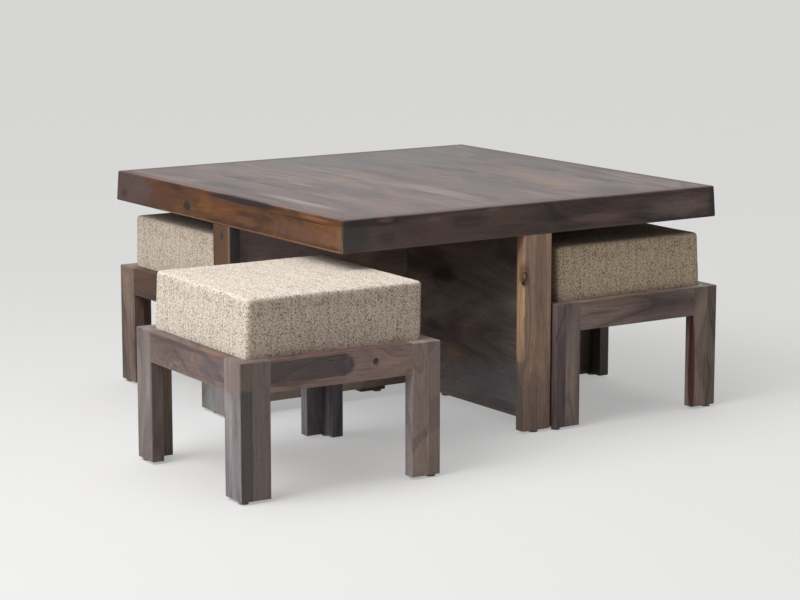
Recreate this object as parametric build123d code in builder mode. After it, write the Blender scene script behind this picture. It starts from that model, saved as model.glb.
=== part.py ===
from build123d import *

import os
from math import atan2, cos, degrees, radians, sin

# A low square table on a cross-shaped base, with four cushioned stools that nest under its top.
# Millimetres. The origin is on the floor under the centre of the top. +X runs along the edge from
# the front corner to the right corner, +Y from the front corner to the left corner, and +Z is up.

# The top: planks with their grain along Y, framed by mitred edge boards that are deeper than they are
top_side = 900.0  # across the lower edge of the top
table_height = 455.0
edge_height = 62.0
edge_thickness = 24.0
edge_lean = 3.0  # each edge face leans out by this much on its way down
edge_corner_chamfer = 2.5
edge_arris_chamfer = 2.0
edge_lower_chamfer = 1.5
plank_count = 7
plank_thickness = 25.0
joint_line = 0.2  # hairline between boards that are glued side by side

# The base: two panels halved into each other, with a post at each of their four ends
post_width = 66.0
post_chamfer = 1.5
panel_thickness = 30.0
panel_floor_gap = 25.0
panel_tenon_thickness = 12.0
panel_tenon_length = 12.0
panel_tenon_shoulder = 30.0
lap_clearance = 0.25

# Cleats under the planks: one set along the edge boards, one along the panels
edge_cleat_side = 18.0
panel_cleat_side = 22.0

# The stools are as wide as the bay between two posts allows, and as high as the top allows
stool_gap = 7.0  # between a tucked stool and the posts on each side of it
stool_headroom = 33.0  # between a cushion and the underside of the edge boards
cushion_rise = 107.0  # how far a cushion stands above its frame
leg_width = 60.0
leg_thickness = 24.0
rail_height = 58.0
frame_chamfer = 1.2
rail_tenon_thickness = 10.0
rail_tenon_length = 18.0
rail_tenon_shoulder = 10.0
mortise_clearance = 0.1

# The seat in its frame
seat_recess = 13.0  # from the rails' top edges down to the seat board
seat_gap = 2.0  # between the seat and the rails round it
seat_board_thickness = 12.0
seat_board_round = 6.0
seat_cleat_side = 22.0

# The box cushion: rolled edges, a low crown, and sides that pull in between the corners
cushion_clearance = 0.3
cushion_roll = 9.0
cushion_foot_round = 4.0
cushion_corner_round = 15.0
cushion_draw = 3.0
corner_growth_share = 0.15  # of the way in, how much rounder the corners get
roll_steps = 3
cushion_crown = 5.0
crown_corner_cut = 25.0
crown_shares = ((0, 0), (0.1, 0.45), (0.25, 0.8), (0.45, 1))  # of the way in, and of the rise

# Glides
glide_radius = 9.0
glide_height = 5.0
glide_inset = 15.0  # from a leg's outer corner to its glide, along the wide board

# Where each stool stands: its own tucked place, moved by x and y, and turned by degrees
left_push_share = 0.7  # of the gap, how much closer than usual the left stool stands to its post
left_side_share = 0.5
right_side_share = 0.4
right_stand_out = 11.0
front_pull_x = 309.8
front_pull_y = 177.7
front_turn = -2.0

# Worked out from the sizes above
edge_low = table_height - edge_height
plank_low = table_height - plank_thickness
field_side = top_side - 2 * edge_thickness
post_centre = top_side / 2 - edge_thickness / 2
panel_length = field_side - 2 * joint_line
panel_height = plank_low - panel_floor_gap
panel_tenon_low = panel_floor_gap + panel_tenon_shoulder
panel_tenon_height = edge_low - panel_tenon_shoulder - panel_tenon_low
lap_height = panel_floor_gap + panel_height / 2
stool_side = top_side / 2 - post_width / 2 - stool_gap
stool_top = edge_low - stool_headroom
frame_top = stool_top - cushion_rise
frame_height = frame_top - glide_height
rail_low = frame_top - rail_height
rail_span = stool_side - 2 * leg_width
rail_line = stool_side / 2 - leg_thickness / 2
well_side = stool_side - 2 * leg_thickness
seat_side = well_side - 2 * seat_gap
seat_top = frame_top - seat_recess
seat_low = seat_top - seat_board_thickness

side_angles = {"back_right": 0, "back_left": 90, "front_left": 180, "front_right": 270}
corner_signs = {"front": (-1, -1), "right": (1, -1), "back": (1, 1), "left": (-1, 1)}

os.makedirs("parts", exist_ok=True)


def put(piece, plane, name):
    """Writes a copy of a finished piece, moved from the origin's plane to its own."""
    with BuildPart(plane) as copy:
        add(piece.part)
    copy.part.label = name
    export_step(copy.part, f"parts/{name}.step")


# Edge boards: a leaning ring with eased arrises, cut on its diagonals into four mitred boards
with BuildPart() as edge_ring:
    with BuildSketch(Plane.XY.offset(edge_low)):
        Rectangle(top_side, top_side)
    extrude(amount=edge_height, taper=degrees(atan2(edge_lean, edge_height)))
    chamfer(edge_ring.edges().group_by(Axis.Z)[1], edge_corner_chamfer)
    chamfer(edge_ring.faces().sort_by(Axis.Z)[-1].edges(), edge_arris_chamfer)
    chamfer(edge_ring.faces().sort_by(Axis.Z)[0].edges(), edge_lower_chamfer)
    with BuildSketch(Plane.XY.offset(edge_low)):
        Rectangle(field_side, field_side)
    extrude(amount=edge_height, mode=Mode.SUBTRACT)

with BuildPart() as edge_board:
    add(edge_ring.part)
    with BuildSketch(Plane.XY.offset(edge_low)):
        with BuildLine():
            Polyline((0, 0), (top_side, -top_side), (top_side, top_side), close=True)
        make_face()
    extrude(amount=edge_height, mode=Mode.INTERSECT)

for side, angle in side_angles.items():
    put(edge_board, Plane.XY.rotated((0, 0, angle)), f"edge_board_{side}")

# Cleats: bars from near the middle to near the corners, in mirrored pairs
edge_bar_start = panel_thickness / 2 + joint_line
edge_bar_end = field_side / 2 - edge_cleat_side - 2 * joint_line
edge_bar_middle = (edge_bar_start + edge_bar_end) / 2
edge_bar_length = edge_bar_end - edge_bar_start
edge_bar_line = field_side / 2 - joint_line - edge_cleat_side / 2

with BuildPart() as edge_cleats:
    with BuildSketch(Plane.XY.offset(plank_low - edge_cleat_side)):
        with GridLocations(2 * edge_bar_middle, 2 * edge_bar_line, 2, 2):
            Rectangle(edge_bar_length, edge_cleat_side)
        with GridLocations(2 * edge_bar_line, 2 * edge_bar_middle, 2, 2):
            Rectangle(edge_cleat_side, edge_bar_length)
    extrude(amount=edge_cleat_side)

put(edge_cleats, Plane.XY, "edge_cleats")

bar_start = panel_thickness / 2 + panel_cleat_side + 2 * joint_line
bar_end = edge_bar_end
bar_middle = (bar_start + bar_end) / 2
bar_length = bar_end - bar_start
bar_line = panel_thickness / 2 + joint_line + panel_cleat_side / 2

with BuildPart() as panel_cleats:
    with BuildSketch(Plane.XY.offset(plank_low - panel_cleat_side)):
        with GridLocations(2 * bar_middle, 2 * bar_line, 2, 2):
            Rectangle(bar_length, panel_cleat_side)
        with GridLocations(2 * bar_line, 2 * bar_middle, 2, 2):
            Rectangle(panel_cleat_side, bar_length)
    extrude(amount=panel_cleat_side)

put(panel_cleats, Plane.XY, "panel_cleats")

# Planks
plank_pitch = field_side / plank_count

with BuildPart() as top_planks:
    with BuildSketch(Plane.XY.offset(plank_low)):
        with GridLocations(plank_pitch, 0, plank_count, 1):
            Rectangle(plank_pitch - joint_line, field_side - 2 * joint_line)
    extrude(amount=plank_thickness)

put(top_planks, Plane.XY, "top_planks")

# Posts: flush with the lower edge of the edge boards, with a mortise towards the middle
with BuildPart() as post:
    with BuildSketch(Plane.XY.offset(glide_height)):
        with Locations((post_centre, 0)):
            Rectangle(edge_thickness, post_width)
    extrude(amount=edge_low - glide_height)
    outer_face = post.faces().sort_by(Axis.X)[-1]
    chamfer(outer_face.edges().filter_by(Axis.Z), post_chamfer)
    with BuildSketch(Plane.XY.offset(panel_tenon_low - mortise_clearance)):
        Rectangle(
            panel_length + 2 * (panel_tenon_length + mortise_clearance),
            panel_tenon_thickness + 2 * mortise_clearance,
        )
    extrude(amount=panel_tenon_height + 2 * mortise_clearance, mode=Mode.SUBTRACT)

for side, angle in side_angles.items():
    put(post, Plane.XY.rotated((0, 0, angle)), f"post_{side}")

# Cross panels: alike but for the slot, which is open above in one and below in the other
slot_width = panel_thickness + 2 * lap_clearance
slot_height = panel_height / 2

for name, angle, slot_low in (
    ("cross_panel_slotted_above", 0, lap_height),
    ("cross_panel_slotted_below", 90, panel_floor_gap),
):
    with BuildPart() as cross_panel:
        with BuildSketch(Plane.XY.offset(panel_floor_gap)):
            Rectangle(panel_length, panel_thickness)
        extrude(amount=panel_height)
        with BuildSketch(Plane.XY.offset(panel_tenon_low)):
            Rectangle(panel_length + 2 * panel_tenon_length, panel_tenon_thickness)
        extrude(amount=panel_tenon_height)
        with BuildSketch(Plane.XY.offset(slot_low)):
            Rectangle(slot_width, panel_thickness)
        extrude(amount=slot_height, mode=Mode.SUBTRACT)
    put(cross_panel, Plane.XY.rotated((0, 0, angle)), name)

# Glides under the posts
with BuildPart() as table_glides:
    with BuildSketch(Plane.XY):
        with PolarLocations(post_centre, len(side_angles)):
            Circle(glide_radius)
    extrude(amount=glide_height)

put(table_glides, Plane.XY, "table_glides")

# A stool is made once, centred on the origin, and its frame is cut from one blank with eased edges
with BuildPart() as frame_blank:
    with BuildSketch(Plane.XY.offset(glide_height)):
        Rectangle(stool_side, stool_side)
        Rectangle(well_side, well_side, mode=Mode.SUBTRACT)
    extrude(amount=frame_height)
    with BuildSketch(Plane.XY.offset(glide_height)):
        Rectangle(stool_side, rail_span)
        Rectangle(rail_span, stool_side)
    extrude(amount=frame_height - rail_height, mode=Mode.SUBTRACT)
    x_faces = frame_blank.faces().filter_by(Axis.X).sort_by(Axis.X)
    y_faces = frame_blank.faces().filter_by(Axis.Y).sort_by(Axis.Y)
    outer_edges = {e for f in (x_faces[0], x_faces[-1], y_faces[0], y_faces[-1]) for e in f.edges()}
    chamfer(outer_edges, frame_chamfer)

# Legs: a wide board that faces along X, and a narrower one glued behind its edge that faces along Y
return_width = leg_width - leg_thickness - joint_line
return_line = stool_side / 2 - leg_width + return_width / 2
legs = {}

for corner, (x_sign, y_sign) in corner_signs.items():
    with BuildPart() as leg:
        add(frame_blank.part)
        with BuildSketch(Plane.XY.offset(glide_height)):
            with Locations((x_sign * rail_line, y_sign * (stool_side - leg_width) / 2)):
                Rectangle(leg_thickness, leg_width)
            with Locations((x_sign * return_line, y_sign * rail_line)):
                Rectangle(return_width, leg_thickness)
        extrude(amount=frame_height, mode=Mode.INTERSECT)
        with BuildSketch(Plane.XY.offset(rail_low + rail_tenon_shoulder - mortise_clearance)):
            mortise_reach = rail_span + 2 * (rail_tenon_length + mortise_clearance)
            mortise_thickness = rail_tenon_thickness + 2 * mortise_clearance
            with Locations((x_sign * rail_line, 0)):
                Rectangle(mortise_thickness, mortise_reach)
            with Locations((0, y_sign * rail_line)):
                Rectangle(mortise_reach, mortise_thickness)
        extrude(
            amount=rail_height - 2 * rail_tenon_shoulder + 2 * mortise_clearance,
            mode=Mode.SUBTRACT,
        )
    legs[corner] = leg

# Rails: their outer faces and tops are flush with the legs, and their tenons fill the mortises
with BuildPart() as side_rails:
    add(frame_blank.part)
    with BuildSketch(Plane.XY.offset(rail_low)):
        with GridLocations(2 * rail_line, 0, 2, 1):
            Rectangle(leg_thickness, rail_span)
    extrude(amount=rail_height, mode=Mode.INTERSECT)
    with BuildSketch(Plane.XY.offset(rail_low + rail_tenon_shoulder)):
        with GridLocations(2 * rail_line, 0, 2, 1):
            Rectangle(rail_tenon_thickness, rail_span + 2 * rail_tenon_length)
    extrude(amount=rail_height - 2 * rail_tenon_shoulder)

with BuildPart() as end_rails:
    add(frame_blank.part)
    with BuildSketch(Plane.XY.offset(rail_low)):
        with GridLocations(0, 2 * rail_line, 1, 2):
            Rectangle(rail_span, leg_thickness)
    extrude(amount=rail_height, mode=Mode.INTERSECT)
    with BuildSketch(Plane.XY.offset(rail_low + rail_tenon_shoulder)):
        with GridLocations(0, 2 * rail_line, 1, 2):
            Rectangle(rail_span + 2 * rail_tenon_length, rail_tenon_thickness)
    extrude(amount=rail_height - 2 * rail_tenon_shoulder)

# Seat cleats: two along the side rails and two shorter ones between them
cleat_line = well_side / 2 - joint_line - seat_cleat_side / 2
long_cleat = well_side - 2 * joint_line
short_cleat = well_side - 2 * seat_cleat_side - 4 * joint_line

with BuildPart() as seat_cleats:
    with BuildSketch(Plane.XY.offset(seat_low - seat_cleat_side)):
        with GridLocations(2 * cleat_line, 0, 2, 1):
            Rectangle(seat_cleat_side, long_cleat)
        with GridLocations(0, 2 * cleat_line, 1, 2):
            Rectangle(short_cleat, seat_cleat_side)
    extrude(amount=seat_cleat_side)

with BuildPart() as seat_board:
    with BuildSketch(Plane.XY.offset(seat_low)):
        RectangleRounded(seat_side, seat_side, seat_board_round)
    extrude(amount=seat_board_thickness)

# Cushion: outlines at rising levels, each with sides that bow in between quarter-round corners
cushion_low = seat_top + cushion_clearance
crown_low = stool_top - cushion_crown
cushion_levels = [(cushion_low, cushion_foot_round), (cushion_low + cushion_foot_round, 0)]
for step in range(roll_steps + 1):
    angle = radians(90 * step / roll_steps)
    level = crown_low - cushion_roll * (1 - sin(angle))
    cushion_levels.append((level, cushion_roll * (1 - cos(angle))))

with BuildPart() as cushion:
    for level, inset in cushion_levels:
        reach = seat_side / 2 - inset
        corner = cushion_corner_round + corner_growth_share * inset
        bend = corner * (1 - cos(radians(45)))
        with BuildSketch(Plane.XY.offset(level)):
            with BuildLine():
                for quarter in range(4):
                    side_start, side_middle, corner_start, corner_middle, corner_end = [
                        Vector(x, y).rotate(Axis.Z, 90 * quarter)
                        for x, y in (
                            (reach, corner - reach),
                            (reach - cushion_draw, 0),
                            (reach, reach - corner),
                            (reach - bend, reach - bend),
                            (reach - corner, reach),
                        )
                    ]
                    ThreePointArc(side_start, side_middle, corner_start)
                    ThreePointArc(corner_start, corner_middle, corner_end)
            make_face()
    loft(ruled=True)
    crown_reach = seat_side / 2 - cushion_roll - cushion_draw
    for inward_share, rise_share in crown_shares:
        crown_side = 2 * crown_reach * (1 - inward_share)
        with BuildSketch(Plane.XY.offset(crown_low + rise_share * cushion_crown)) as outline:
            Rectangle(crown_side, crown_side)
            chamfer(outline.vertices(), crown_corner_cut)
    loft(ruled=True)

# Glides, each under the wide board of a leg
with BuildPart() as stool_glides:
    with BuildSketch(Plane.XY):
        with GridLocations(2 * rail_line, stool_side - 2 * glide_inset, 2, 2):
            Circle(glide_radius)
    extrude(amount=glide_height)

# The four stools, each put where it stands
stool_pieces = {
    **{f"leg_{corner}": leg for corner, leg in legs.items()},
    "side_rails": side_rails,
    "end_rails": end_rails,
    "seat_cleats": seat_cleats,
    "seat_board": seat_board,
    "cushion": cushion,
    "glides": stool_glides,
}
stool_shifts = {
    "front": (-front_pull_x, -front_pull_y, front_turn),
    "right": (-right_side_share * stool_gap, -right_stand_out, 0),
    "back": (0, 0, 0),
    "left": (left_side_share * stool_gap, -left_push_share * stool_gap, 0),
}
tucked_centre = top_side / 2 - stool_side / 2

for stool, (shift_x, shift_y, turn) in stool_shifts.items():
    x_sign, y_sign = corner_signs[stool]
    stand = Plane((x_sign * tucked_centre + shift_x, y_sign * tucked_centre + shift_y, 0))
    for piece, part in stool_pieces.items():
        put(part, stand.rotated((0, 0, turn)), f"{stool}_stool_{piece}")
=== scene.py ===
# %% [markdown]
# # A square coffee table with four nesting stools
#
# The object is a low square table of dark stained sheesham (Indian rosewood) on a cross-shaped base, with four
# upholstered stools that slide in under its top. The exact woodwork comes from the CAD model, which is loaded
# here and never moved. This script dresses it: the stained and oiled boards, the woven cushion covers, the small
# screws and glides, the floor, the light and the camera.

# %% Load the fixed frame
from functools import partial
from math import cos, pi, radians, sin

import bmesh
import bpy
from mathutils import Matrix, Vector, noise


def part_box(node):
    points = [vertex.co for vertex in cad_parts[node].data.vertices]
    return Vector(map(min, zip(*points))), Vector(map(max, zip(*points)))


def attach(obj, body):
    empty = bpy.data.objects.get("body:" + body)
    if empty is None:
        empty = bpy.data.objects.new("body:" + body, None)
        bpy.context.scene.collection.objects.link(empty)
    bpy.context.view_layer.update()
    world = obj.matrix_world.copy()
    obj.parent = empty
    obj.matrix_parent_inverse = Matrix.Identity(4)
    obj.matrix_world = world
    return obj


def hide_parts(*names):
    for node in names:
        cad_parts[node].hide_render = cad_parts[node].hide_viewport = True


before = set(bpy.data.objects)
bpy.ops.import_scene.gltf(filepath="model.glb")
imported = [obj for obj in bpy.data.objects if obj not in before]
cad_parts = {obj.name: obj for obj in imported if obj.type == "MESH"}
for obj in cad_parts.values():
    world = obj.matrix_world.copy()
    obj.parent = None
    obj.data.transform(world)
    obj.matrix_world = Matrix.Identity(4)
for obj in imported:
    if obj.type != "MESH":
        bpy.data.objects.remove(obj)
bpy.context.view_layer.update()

# %% [markdown]
# ## Camera
#
# The place, tilt and focal length were worked out from the corners of the table and the front stool in the
# photograph. A long lens from five metres away keeps the edges of the top almost parallel, as a catalogue
# photographer wants them. Nothing is shifted, because the verticals of the photograph lean a little.

# %% Set the camera
camera_place = (-2.86525, -4.27182, 1.11263)
camera_heading, camera_tilt = -33.64, 79.91  # degrees round Z, and up from looking straight down
focal_length, sensor_width = 112.04, 36  # mm
camera_reach = 200  # m, past the far edge of the floor


def put(title, data):
    """Puts an object with the given data into the scene."""
    made = bpy.data.objects.new(title, data)
    bpy.context.collection.objects.link(made)
    return made


camera = put("camera", bpy.data.cameras.new("camera"))
camera.location = camera_place
camera.rotation_euler = (radians(camera_tilt), 0, radians(camera_heading))
camera.data.lens, camera.data.sensor_width, camera.data.clip_end = focal_length, sensor_width, camera_reach
bpy.context.scene.camera = camera
bpy.context.scene.view_settings.view_transform = "Standard"  # colours come out as they are written
print("camera", round(camera.location.length, 2), "m from the middle of the table")

# %% [markdown]
# ## Colours and nodes
#
# Colours are noted the way a designer notes them, as sRGB hex values, and one function turns them into the
# linear values that the shaders work with. One more small function adds a node, with its settings and whatever
# feeds it, so that a material further down reads as a list of steps. Its inputs are given from the first on, or
# by name or number. A Map Range node takes a value, the range that it reads (1 and 2) and the one that it gives
# (3 and 4). A Mix node of colours takes the share of the second colour (0) and the two colours (6 and 7).


# %% Helpers for colours and nodes
def linear(shade):
    """An sRGB hex colour as linear red, green, blue and alpha, by the curve of the sRGB standard."""
    parts = [int(shade[i : i + 2], 16) / 255 for i in (1, 3, 5)]
    return (*[v / 12.92 if v <= 0.04045 else ((v + 0.055) / 1.055) ** 2.4 for v in parts], 1)


def scaled_colour(shade, factors):
    """A shade in linear colour, its red, green and blue each multiplied by the given factors."""
    return (*[min(1.0, v * d) for v, d in zip(linear(shade), factors)], 1)


def add_node(tree, kind, feeds=(), **settings):
    """One node with its settings; feeds gives its inputs values, nodes or sockets, in order or by key."""
    made = tree.nodes.new(kind)
    for setting, value in settings.items():
        setattr(made, setting, value)
    for socket, value in feeds.items() if isinstance(feeds, dict) else enumerate(feeds):
        if isinstance(value, bpy.types.Node):
            value = value.outputs[0]
        if isinstance(value, bpy.types.NodeSocket):
            tree.links.new(value, made.inputs[socket])
        else:
            made.inputs[socket].default_value = value
    return made


def new_material(title):
    """An empty material, and add_node with that material's tree already given."""
    made = bpy.data.materials.new(title)
    made.use_nodes = True
    made.node_tree.nodes.clear()
    return made, partial(add_node, made.node_tree)


def finish(made, add, look):
    """Gives a material its look, by the sockets of the Principled shader."""
    add("ShaderNodeOutputMaterial", [add("ShaderNodeBsdfPrincipled", look)])
    return made


def set_stops(ramp, spots, shades):
    """Puts colours at spots of a colour ramp, from its first stop to its last."""
    stops = ramp.color_ramp.elements
    for spot, shade in zip(spots, shades):
        stop = stops[0] if spot == spots[0] else stops[-1] if spot == spots[-1] else stops.new(spot)
        stop.position, stop.color = spot, shade


# %% [markdown]
# ## Floor and light
#
# The photograph has a seamless pale sweep: nearly white in front, a soft grey behind. One very large plane does
# that, with its colour fading from front to back. Half of what the camera sees of it is its own plain colour, so
# the shadows stay as pale as in the picture. One softbox hangs on the left, close enough to light the stool that
# is pulled out more than the ones under the top. Two wide suns are the white wall behind it and the ceiling: a
# sun is the same everywhere, so nothing falls into the dark on the far side.

# %% Lay the floor
floor_side = 120
sweep_near, sweep_far = "#e4e4e4", "#dedede"
sweep_from, sweep_to = -1.1, 1.6  # m along the view, where the sweep starts and ends its fade
plain_share = 0.48  # of what the camera sees, the share of the paper's own colour, without any shadow
bounce_shade = "#9e9890"  # what the floor throws back at the object

half = floor_side / 2
corners = [(-half, -half, 0), (half, -half, 0), (half, half, 0), (-half, half, 0)]
floor_mesh = bpy.data.meshes.new("floor")
floor_mesh.from_pydata(corners, [], [(0, 1, 2, 3)])
floor = put("floor", floor_mesh)

paper, add = new_material("matt paper sweep")  # matt background paper: no gloss at all, only its pale colour
place = add("ShaderNodeTexCoord")
view_turn = (0, 0, radians(-camera_heading - 90))
turned = add("ShaderNodeMapping", {0: place.outputs["Object"], "Rotation": view_turn})
along = add("ShaderNodeSeparateXYZ", [turned])  # its first output runs from the camera to the back
fade = add("ShaderNodeMapRange", [along, sweep_from, sweep_to], interpolation_type="SMOOTHSTEP")
tint = add("ShaderNodeMix", {0: fade, 6: linear(sweep_near), 7: linear(sweep_far)}, data_type="RGBA")
lit = add("ShaderNodeBsdfDiffuse", [tint.outputs[2]])
plain = add("ShaderNodeEmission", [tint.outputs[2], 1.0])
shown = add("ShaderNodeMixShader", [plain_share, lit, plain])
bounce = add("ShaderNodeBsdfDiffuse", [linear(bounce_shade)])
ray = add("ShaderNodeLightPath").outputs
seen = add("ShaderNodeMath", [ray["Is Camera Ray"], ray["Is Glossy Ray"]], operation="MAXIMUM")
whole = add("ShaderNodeMixShader", [seen, bounce, shown])
add("ShaderNodeOutputMaterial", [whole])
floor_mesh.materials.append(paper)
print("floor", floor_side, "m square")

# %% Hang the lights
key_heading, key_height, key_distance = 190, 47, 2.7  # degrees round and up from the aim, and metres
key_aim = Vector((-0.5, -0.3, 0.3))
key_power, key_side = 34, 1.5  # watts, and the side of the softbox in metres
suns = {"left wall": (180, 42, 1.75, 60), "overhead": (60, 78, 1.1, 56)}  # heading, height, strength, spread


def hang(title, kind, heading, height, **settings):
    """A lamp that shines down from a heading and a height, both in degrees."""
    lamp = put(title, bpy.data.lights.new(title, kind))
    for setting, value in settings.items():
        setattr(lamp.data, setting, value)
    lamp.rotation_euler = (radians(90 - height), 0, radians(heading + 90))
    return lamp


key = hang("key softbox", "AREA", key_heading, key_height, energy=key_power, size=key_side)
key.location = key_aim + key.rotation_euler.to_matrix() @ Vector((0, 0, key_distance))
for title, (heading, height, strength, spread) in suns.items():
    hang(title, "SUN", heading, height, energy=strength, angle=radians(spread))
print("key at", [round(v, 2) for v in key.location])

# %% Fill the room with light
wall_shade = "#d9d9d9"  # what the camera and every reflection see
fill_shade, fill_strength = "#fdf3e6", 0.14  # what lights the object from all round

studio = bpy.data.worlds.new("studio")
bpy.context.scene.world = studio
studio.use_nodes = True
studio.node_tree.nodes.clear()
add = partial(add_node, studio.node_tree)
ray = add("ShaderNodeLightPath").outputs
seen = add("ShaderNodeMath", [ray["Is Camera Ray"], ray["Is Glossy Ray"]], operation="MAXIMUM")
seen = add("ShaderNodeMath", [seen, ray["Is Transmission Ray"]], operation="MAXIMUM")
wall = add("ShaderNodeBackground", [linear(wall_shade), 1.0])
fill = add("ShaderNodeBackground", [linear(fill_shade), fill_strength])
mixed = add("ShaderNodeMixShader", [seen, fill, wall])
add("ShaderNodeOutputWorld", [mixed])
print("world", studio.name, "with fill", fill_strength)

# %% [markdown]
# ## Stained sheesham
#
# Sheesham is the Indian rosewood of much solid furniture: a hard, heavy wood with dark growth figure that
# swirls round its knots, and pale sapwood along some edges. Here it was planed, sanded, stained dark brown and
# finished with satin oil. It could be painted as a picture of boards, but a solid texture is better: the figure
# is computed in space, so that it runs round every edge of a board as real grain does.
#
# The steps: turn the piece's coordinates so that the first one runs along the grain; let a slow noise bend the
# layers; read a fine noise across those layers, which makes the growth figure; add patches of heartwood, fibres
# and short open pores; then turn that one number into colour. Each board has one middle shade, its stain, and
# five tones round it. Three numbers set its character: figure is the contrast of its tones, fine that of its
# fibres and veins, and broad says how wide the figure lies across the grain.


# %% Measure the wood
# five tones round the stain, and where each lies on the scale of the figure
tone_steps = ((0.36, 0.32, 0.35), (0.7, 0.66, 0.69), (1, 1, 1), (1.26, 1.25, 1.21), (1.75, 1.72, 1.58))
tone_spots, middle_tone = (0.33, 0.43, 0.51, 0.59, 0.72), 0.51
# patterns are measured in waves per metre, first along the grain and then across it
bend_waves, bend_push = (1.9, 9.0), 12.0  # the layers wander once in half a metre, over up to 12 waves
layer_waves = 22.0  # growth layers, about 45 mm from one to the next
vein_scale, vein_band = 3.1, (0.34, 0.43)  # dark growth lines, 2 to 4 mm wide and 10 to 20 mm apart
heart_waves = (3.2, 14.0)  # patches of heartwood, 30 to 70 mm wide and three to five times as long
fibre_waves = (9.0, 420.0)  # fibres 2 mm wide, coarser than real ones, so that the picture can show them
pore_waves, pore_band = (55.0, 900.0), (0.6, 0.72)  # pores, as short dark dashes
ring_share, heart_share, board_share = 0.45, 0.7, 0.12  # what each adds to the tone
fine_share = (0.26, 0.24)  # how dark the veins and fibres are at most
pore_shade, pore_share = "#170d0a", 0.45
elsewhere = (3.1, 1.7, 2.3)  # m, the jump to a board from another place of the tree
plank_spread = (4.0, 1.0, 1.0)  # m, how far apart the planks of the top grew
to_grain = {"X": (0, 0, 0), "Y": (0, 0, radians(-90)), "Z": (0, radians(90), 0)}


def stretched(add, laid, waves, broad=1.0):
    """Coordinates in waves, along the grain and across it."""
    across = waves[1] / broad
    return add("ShaderNodeVectorMath", [laid, (waves[0], across, across)], operation="MULTIPLY")


# %% Cut boards from other places of the tree
def other_board(add, own, laid, joint):
    """Where X is nearer the middle than the glued joint, another board. Also gives where that is."""
    away = add("ShaderNodeMath", [add("ShaderNodeSeparateXYZ", [own])], operation="ABSOLUTE")
    change = add("ShaderNodeMath", [away, joint], operation="LESS_THAN")
    jump = add("ShaderNodeVectorMath", [change, elsewhere], operation="MULTIPLY")
    return add("ShaderNodeVectorMath", [laid, jump], operation="ADD"), change


def plank_by_plank(add, own, laid, first, pitch, seed):
    """Planks side by side along X, from one of their edges. Also gives a number by chance for each."""
    shifted = add("ShaderNodeMath", [add("ShaderNodeSeparateXYZ", [own]), -first], operation="ADD")
    counted = add("ShaderNodeMath", [shifted, pitch], operation="DIVIDE")
    number = add("ShaderNodeMath", [counted], operation="FLOOR")
    seeded = add("ShaderNodeMath", [number, seed + 0.37], operation="ADD")
    drawn = add("ShaderNodeTexWhiteNoise", {"W": seeded}, noise_dimensions="1D").outputs
    jump = add("ShaderNodeVectorMath", [drawn["Color"], plank_spread], operation="MULTIPLY")
    return add("ShaderNodeVectorMath", [laid, jump], operation="ADD"), drawn["Value"]


# %% Grow the figure
def growth(add, laid, figure, fine, broad):
    """The tone of the growth figure, and how much light its thin dark veins leave."""
    wander = stretched(add, laid, bend_waves)
    bending = {"Vector": wander, "Scale": 1.0, "Detail": 1.5, "Roughness": 0.45, "Distortion": 0.35}
    bend = add("ShaderNodeTexNoise", bending)
    pushed = add("ShaderNodeMath", [bend, bend_push], operation="MULTIPLY")
    across = add("ShaderNodeSeparateXYZ", [laid]).outputs[1]
    layers = add("ShaderNodeMath", [across, layer_waves / broad, pushed], operation="MULTIPLY_ADD")
    ringing = {"W": layers, "Scale": 1.0, "Detail": 4.0, "Roughness": 0.62}
    rings = add("ShaderNodeTexNoise", ringing, noise_dimensions="1D")
    veining = {"W": layers, "Scale": vein_scale, "Detail": 2.0, "Roughness": 0.55}
    vein = add("ShaderNodeTexNoise", veining, noise_dimensions="1D")
    left = [vein, *vein_band, 1 - fine_share[0] * fine, 1.0]
    veins = add("ShaderNodeMapRange", left, interpolation_type="SMOOTHSTEP")
    patches = stretched(add, laid, heart_waves, broad)
    hearting = {"Vector": patches, "Scale": 1.0, "Detail": 3.5, "Roughness": 0.55, "Distortion": 0.5}
    heart = add("ShaderNodeTexNoise", hearting)
    # both noises swing round a half, and the middle of their sum is the middle tone
    base = middle_tone - (ring_share + heart_share) / 2 * figure
    ringed = add("ShaderNodeMath", [rings, ring_share * figure, base], operation="MULTIPLY_ADD")
    return add("ShaderNodeMath", [heart, heart_share * figure, ringed], operation="MULTIPLY_ADD"), veins


# %% [markdown]
# ### Marks of single boards
#
# The photograph shows knots, swirls, streaks and sapwood that no noise would put in their places. They are laid
# over the figure as soft-edged spots measured in metres on the board. A ragged edge and a fibrous ground
# hide that each is an ellipse. Some are strips with straight sides, such as the arris of a board, and some are
# growth lines that wrap round a knot.
# Some marks are painted light and shade rather than wood: pale strips on some arrises are painted highlights, and
# a few patches are painted shade or painted reflection.


# %% Lay marks on a board
mark_grit = {"Scale": 1.9, "Detail": 3.0, "Roughness": 0.6}  # how ragged edges wander, per size of the mark
strip_fade, spot_fade, ragged_fade = 0.06, 0.2, 0.5  # how much of its size a mark takes to fade out
line_band = (0.0, 0.9)  # the part of each wave that is a growth line


def on_face(axis, level, depth, spots):
    """Marks on a face that crosses an axis at a level; spots are measured along the other two axes."""
    at = "XYZ".index(axis)
    return [((*p[:at], level, *p[at:]), (*size[:at], depth, *size[at:]), *look) for p, size, *look in spots]


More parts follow.
